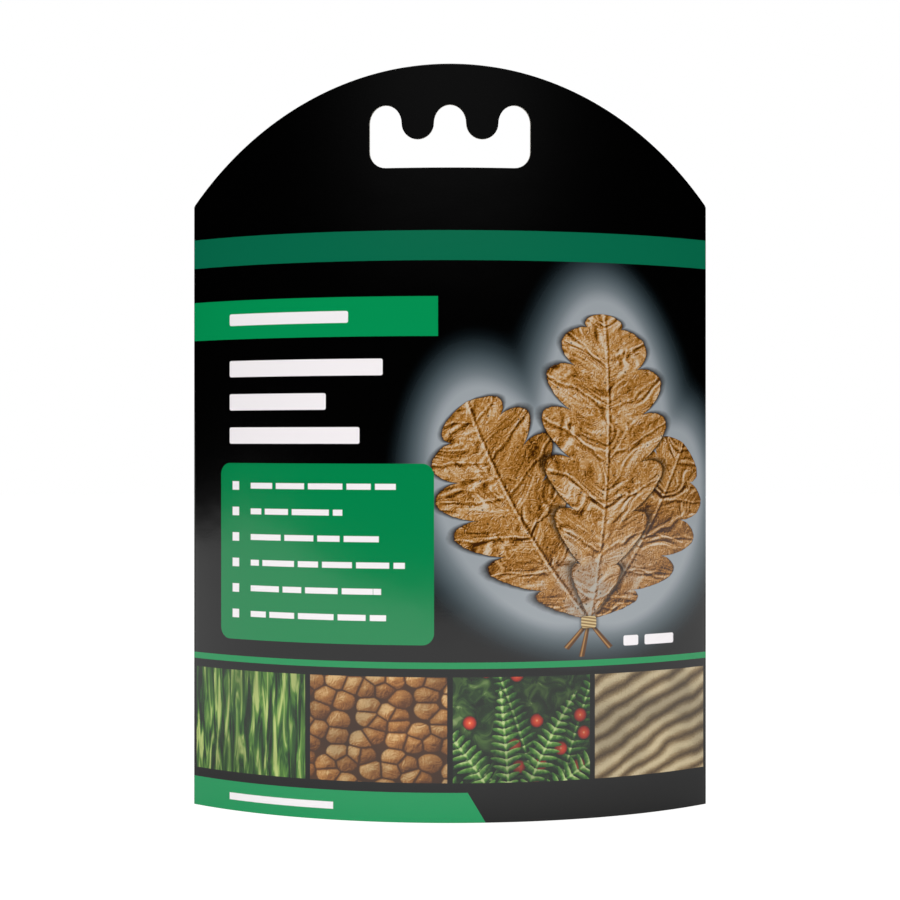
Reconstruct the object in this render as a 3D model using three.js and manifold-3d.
// A bow-fronted hanging carton of dried leaves. One die-cut card blank is folded and glued into a
// flat-backed box whose front bows forward as a cylinder. Above the box the front runs on as an
// arched header with a crown-shaped hang slot. Twelve dried leaves stand stacked inside.
// Millimetres, +Z up. The bowed front faces -Y and the flat back +Y. The origin is on the ground,
// under the middle of the box.

import * as THREE from 'three';
import { mergeVertices } from 'three/addons/utils/BufferGeometryUtils.js';
import Module from 'manifold-3d';

const wasm = await Module();
wasm.setup();

// The carton.
const packWidth = 135;
const packDepth = 28;
const packHeight = 190.2;
const shoulderHeight = 157.4;
const crownHalfAxis = 94.9;
const card = 0.6;
const foldRadius = 0.8;

// Its end closures, their glue tabs, the side seam and the glue flap behind it.
const plateClearance = 0.3;
const plateCornerCut = 5;
const tabHeight = 9;
const tabSpacing = 13;
const middleTabHalf = 3.5;
const outerTabHalf = 2.5;
const flapWidth = 14;
const seamGap = 0.4;
const seamDepth = 0.45;
const glueBite = 0.12;
const creaseStep = 0.05;

// The hang slot: three round-topped lobes above a straight mouth, with a round tooth between each.
const slotBottom = 164.2;
const slotCornerRadius = 4.1;
const lobeHalfWidth = 4.05;
const lobeRise = 4.55;
const lobeRoot = 175.35;
const lobesAndTeeth = 5;

// Steps along the curves. An odd count on a lobe leaves a small flat at its crown.
const frontSteps = 48;
const crownSteps = 41;
const foldSteps = 4;
const lobeSteps = 9;
const cornerSteps = 5;

// The leaves, and how the stack of them is dished, creased and waved.
const leafCount = 12;
const leafThickness = 0.7;
const leafPitch = 1.4;
const leafLength = 112;
const leafHalfWidth = 30;
const stalkLength = 8;
const stalkHalfWidth = 1.3;
const restGap = 0.3;
const cupDepth = 6.5;
const cupHalfWidth = 34;
const midribRise = 1.2;
const midribHalfWidth = 9;
const waveHeight = 0.5;
const waveLength = 80;
const leafRows = 13;
const leafColumns = 8;

// The bow: in plan the front's outer face is a circle that runs into a small round fold at each side.
const back = packDepth / 2;
const foldX = packWidth / 2 - foldRadius;
const foldY = back - foldRadius;
const bowRadius = (foldX ** 2 + (packDepth - foldRadius) ** 2 - foldRadius ** 2)
  / (2 * (packDepth - 2 * foldRadius));
const bowCentreY = bowRadius - back;
const bowHalfAngle = Math.asin(foldX / (bowRadius - foldRadius));
const bowStep = (2 * bowHalfAngle) / frontSteps;

const printedBoard = new THREE.MeshStandardMaterial({ color: 0x0b0c0c, roughness: 0.35, metalness: 0 });
const driedLeaf = new THREE.MeshStandardMaterial({ color: 0x9a6a2c, roughness: 0.75, metalness: 0 });

function toSolid(geometry) {
  const bare = geometry.clone();
  bare.deleteAttribute('normal');
  bare.deleteAttribute('uv');
  const merged = mergeVertices(bare);
  return new wasm.Manifold(new wasm.Mesh({
    numProp: 3,
    vertProperties: merged.attributes.position.array,
    triVerts: Uint32Array.from(merged.index.array),
  }));
}

function toGeometry(solid) {
  const mesh = solid.getMesh();
  const geometry = new THREE.BufferGeometry();
  geometry.setAttribute('position', new THREE.BufferAttribute(Float32Array.from(mesh.vertProperties), 3));
  geometry.setIndex(new THREE.BufferAttribute(Uint32Array.from(mesh.triVerts), 1));
  geometry.computeVertexNormals();
  return geometry;
}

// A plan outline (x, y) raised from z = low to z = high.
function raise(shape, low, high) {
  const geometry = new THREE.ExtrudeGeometry(shape, { depth: high - low, bevelEnabled: false, steps: 1 });
  geometry.translate(0, 0, low);
  return toSolid(geometry);
}

// A front-view outline (x, z) carried right through the pack along Y.
function carryThrough(shape) {
  const length = packDepth * 2;
  const geometry = new THREE.ExtrudeGeometry(shape, { depth: length, bevelEnabled: false, steps: 1 });
  geometry.rotateX(Math.PI / 2);
  geometry.translate(0, length / 2, 0);
  return toSolid(geometry);
}

function block(low, high) {
  const geometry = new THREE.BoxGeometry(high[0] - low[0], high[1] - low[1], high[2] - low[2]);
  geometry.translate((low[0] + high[0]) / 2, (low[1] + high[1]) / 2, (low[2] + high[2]) / 2);
  return toSolid(geometry);
}

// Part of a circle in plan about the bow's centre, between two angles from the middle.
function bowLine(from, to, radius) {
  const steps = Math.max(2, Math.round((to - from) / bowStep));
  const line = [];
  for (let i = 0; i <= steps; i += 1) {
    const angle = from + ((to - from) * i) / steps;
    line.push(new THREE.Vector2(radius * Math.sin(angle), bowCentreY - radius * Math.cos(angle)));
  }
  return line;
}

// The round fold between the bow and the back, on the side given by 1 or -1.
function foldLine(side) {
  const start = bowHalfAngle - Math.PI / 2;
  const line = [];
  for (let i = 1; i <= foldSteps; i += 1) {
    const turn = start + ((Math.PI / 2 - start) * i) / foldSteps;
    const x = side * (foldX + foldRadius * Math.cos(turn));
    line.push(new THREE.Vector2(x, foldY + foldRadius * Math.sin(turn)));
  }
  return line;
}

// Plan of the sleeve: the outer line with its two round folds, and the inner line one card inside.
function sleevePlan() {
  const outer = bowLine(-bowHalfAngle, bowHalfAngle, bowRadius);
  const plan = new THREE.Shape(outer.concat(foldLine(1), foldLine(-1).reverse()));
  const innerRadius = bowRadius - card;
  const innerAngle = Math.acos((bowCentreY - (back - card)) / innerRadius);
  plan.holes.push(new THREE.Path(bowLine(-innerAngle, innerAngle, innerRadius)));
  return plan;
}

// Height of the arched top edge at a distance from the middle: part of an ellipse.
function crownHeight(x) {
  const fall = (at) => 1 - Math.sqrt(1 - (at / crownHalfAxis) ** 2);
  return packHeight - ((packHeight - shoulderHeight) * fall(x)) / fall(packWidth / 2);
}

function crownOutline() {
  const wide = packWidth / 2 + 1;
  const outline = [new THREE.Vector2(-wide, -1), new THREE.Vector2(wide, -1)];
  for (let i = 0; i <= crownSteps; i += 1) {
    const x = wide * (1 - (2 * i) / crownSteps);
    outline.push(new THREE.Vector2(x, crownHeight(x)));
  }
  return new THREE.Shape(outline);
}

// Points of an elliptical arc in the front view. Angles run anticlockwise from +X.
function arcPoints(centreX, centreZ, halfWidth, rise, from, to, steps) {
  const line = [];
  for (let i = 0; i <= steps; i += 1) {
    const turn = from + ((to - from) * i) / steps;
    line.push(new THREE.Vector2(centreX + halfWidth * Math.cos(turn), centreZ + rise * Math.sin(turn)));
  }
  return line;
}

function slotOutline() {
  const wide = lobeHalfWidth * lobesAndTeeth;
  const radius = slotCornerRadius;
  const low = slotBottom + radius;
  const outline = arcPoints(-wide + radius, low, radius, radius, -Math.PI, -Math.PI / 2, cornerSteps);
  outline.push(...arcPoints(wide - radius, low, radius, radius, -Math.PI / 2, 0, cornerSteps));
  for (let n = lobesAndTeeth - 1; n >= 0; n -= 1) {
    const centre = (2 * n - (lobesAndTeeth - 1)) * lobeHalfWidth;
    const rise = n % 2 === 0 ? lobeRise : -lobeHalfWidth;
    const arc = arcPoints(centre, lobeRoot, lobeHalfWidth, rise, 0, Math.PI, lobeSteps);
    outline.push(...(n === lobesAndTeeth - 1 ? arc : arc.slice(1)));
  }
  return new THREE.Shape(outline);
}

// An end closure: a D-shaped plate creased to the back, cut off at its two sharp corners.
function endPlate(low) {
  const radius = bowRadius - card - plateClearance;
  const wide = foldX - plateCornerCut;
  const reach = Math.asin(wide / radius);
  const outline = [new THREE.Vector2(wide, back - card / 2), new THREE.Vector2(-wide, back - card / 2)];
  return raise(new THREE.Shape(outline.concat(bowLine(-reach, reach, radius))), low, low + card);
}

// A glue tab bent from an end plate's curved edge and stuck to the inside of the front.
function glueTab(middle, halfWidth, low) {
  const from = (middle - halfWidth) * bowStep;
  const to = (middle + halfWidth) * bowStep;
  const outer = bowLine(from, to, bowRadius - card + glueBite);
  const inner = bowLine(from, to, bowRadius - 2 * card).reverse();
  return raise(new THREE.Shape(outer.concat(inner)), low, low + tabHeight);
}

function endClosure(plateLow, tabLow) {
  return endPlate(plateLow)
    .add(glueTab(0, middleTabHalf, tabLow))
    .add(glueTab(-tabSpacing, outerTabHalf, tabLow))
    .add(glueTab(tabSpacing, outerTabHalf, tabLow));
}

// The whole folded and glued blank. The creases hold each end plate a hair past the back's cut edge.
function carton() {
  const aboveBack = block(
    [-packWidth, back - 2 * card, shoulderHeight - creaseStep],
    [packWidth, packDepth, packHeight + 2],
  );
  const sleeve = raise(sleevePlan(), creaseStep, packHeight + 1)
    .intersect(carryThrough(crownOutline()))
    .subtract(aboveBack)
    .subtract(carryThrough(slotOutline()));
  const glueFlap = block(
    [foldX - flapWidth, back - 2 * card, 2 * card],
    [foldX - card, back - card + glueBite, shoulderHeight - 2 * card],
  );
  const seam = block(
    [foldX - card - seamGap, back - seamDepth, -1],
    [foldX - card, packDepth, shoulderHeight + 1],
  );
  return sleeve
    .add(endClosure(0, card / 2))
    .add(endClosure(shoulderHeight - card, shoulderHeight - card / 2 - tabHeight))
    .add(glueFlap)
    .subtract(seam);
}

// How far a leaf's middle surface stands forward of its place in the stack.
function stackRelief(x, z) {
  const across = Math.abs(x);
  const cup = cupDepth * (1 - (across / cupHalfWidth) ** 2);
  const crease = midribRise * Math.max(0, 1 - across / midribHalfWidth);
  const wave = Math.sin((2 * Math.PI * z) / waveLength + across / midribHalfWidth);
  return cup + crease + waveHeight * (1 + wave) * Math.min(1, across / midribHalfWidth);
}

// Half the width of a leaf at a share of its length: narrow at the stalk, broadest past the middle.
function leafHalf(share, wide) {
  const rise = 0.95;
  const fall = 0.5;
  const broadest = rise / (rise + fall);
  const peak = broadest ** rise * (1 - broadest) ** fall;
  return stalkHalfWidth + ((wide - stalkHalfWidth) * share ** rise * (1 - share) ** fall) / peak;
}

// A leaf's half width and height at a row: the stalk's foot first, then the blade, base to tip.
function leafRow(row, long, wide) {
  if (row === 0) {
    return { half: stalkHalfWidth, height: 0, share: 0 };
  }
  const share = 0.5 - 0.5 * Math.cos((Math.PI * (row - 0.5)) / (leafRows - 0.5));
  return { half: leafHalf(share, wide), height: stalkLength + (long - stalkLength) * share, share };
}

// One leaf: a back and a front face with the same grid of points, and the edge between them.
function leaf(index) {
  const long = leafLength * (1 + 0.045 * Math.sin(2.4 * index));
  const wide = leafHalfWidth * (1 + 0.05 * Math.sin(1.7 * index + 1));
  const bend = 2.5 * Math.sin(3.1 * index + 0.5);
  const points = [];
  for (const face of [-0.5, 0.5]) {
    for (let row = 0; row <= leafRows; row += 1) {
      const { half, height, share } = leafRow(row, long, wide);
      const z = card + restGap + height;
      for (let column = 0; column <= leafColumns; column += 1) {
        const x = half * ((2 * column) / leafColumns - 1) + bend * share ** 2;
        const forward = restGap + leafThickness / 2 + index * leafPitch + stackRelief(x, z);
        points.push(x, back - 2 * card - forward + face * leafThickness, z);
      }
    }
  }
  const geometry = new THREE.BufferGeometry();
  geometry.setAttribute('position', new THREE.Float32BufferAttribute(points, 3));
  geometry.setIndex(leafFaces());
  geometry.computeVertexNormals();
  return geometry;
}

function leafFaces() {
  const faces = [];
  const id = (face, row, column) => (face * (leafRows + 1) + row) * (leafColumns + 1) + column;
  const quad = (a, b, c, d) => faces.push(a, b, c, a, c, d);
  const last = leafColumns;
  for (let row = 0; row < leafRows; row += 1) {
    for (let column = 0; column < last; column += 1) {
      quad(id(0, row, column), id(0, row, column + 1), id(0, row + 1, column + 1), id(0, row + 1, column));
      quad(id(1, row, column), id(1, row + 1, column), id(1, row + 1, column + 1), id(1, row, column + 1));
    }
    quad(id(0, row, 0), id(0, row + 1, 0), id(1, row + 1, 0), id(1, row, 0));
    quad(id(0, row + 1, last), id(0, row, last), id(1, row, last), id(1, row + 1, last));
  }
  const tip = leafRows;
  for (let column = 0; column < last; column += 1) {
    quad(id(0, 0, column + 1), id(0, 0, column), id(1, 0, column), id(1, 0, column + 1));
    quad(id(0, tip, column), id(0, tip, column + 1), id(1, tip, column + 1), id(1, tip, column));
  }
  return faces;
}

function named(name, geometry, material) {
  const mesh = new THREE.Mesh(geometry, material);
  mesh.name = name;
  return mesh;
}

const pack = new THREE.Group();
pack.add(named('carton', toGeometry(carton()), printedBoard));
for (let index = 0; index < leafCount; index += 1) {
  const number = String(index + 1).padStart(2, '0');
  pack.add(named(`leaf_${number}`, leaf(index), driedLeaf));
}

export default pack;
